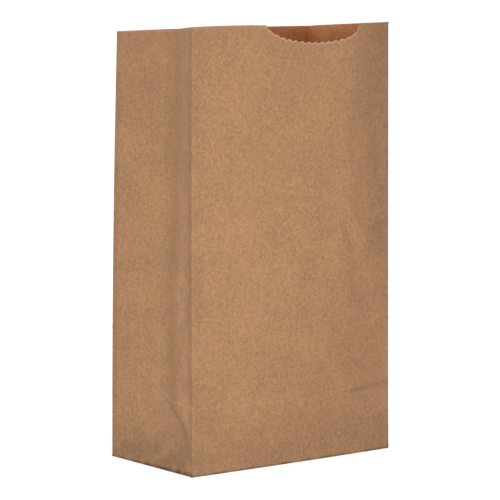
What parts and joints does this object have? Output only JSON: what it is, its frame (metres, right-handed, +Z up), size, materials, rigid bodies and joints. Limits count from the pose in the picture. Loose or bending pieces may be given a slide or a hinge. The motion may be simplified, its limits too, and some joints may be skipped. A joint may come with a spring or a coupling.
{
  "type": "paper lunch bag",
  "caption": "Open kraft paper bag that stands on a folded block bottom, with tucked side gussets and a toothed thumb notch in the front.",
  "frame": {"origin": "middle of the foot's rectangle, on the surface the bag stands on", "axes": "+Z up to the mouth, -Y out of the front with the thumb notch, +X to the right of someone facing the front"},
  "size_m": [0.1149, 0.0681, 0.2001],
  "materials": {
    "kraft_paper": "matte"
  },
  "bodies": {
    "root": {"paper_bag": "kraft_paper"}
  },
  "joints": []
}
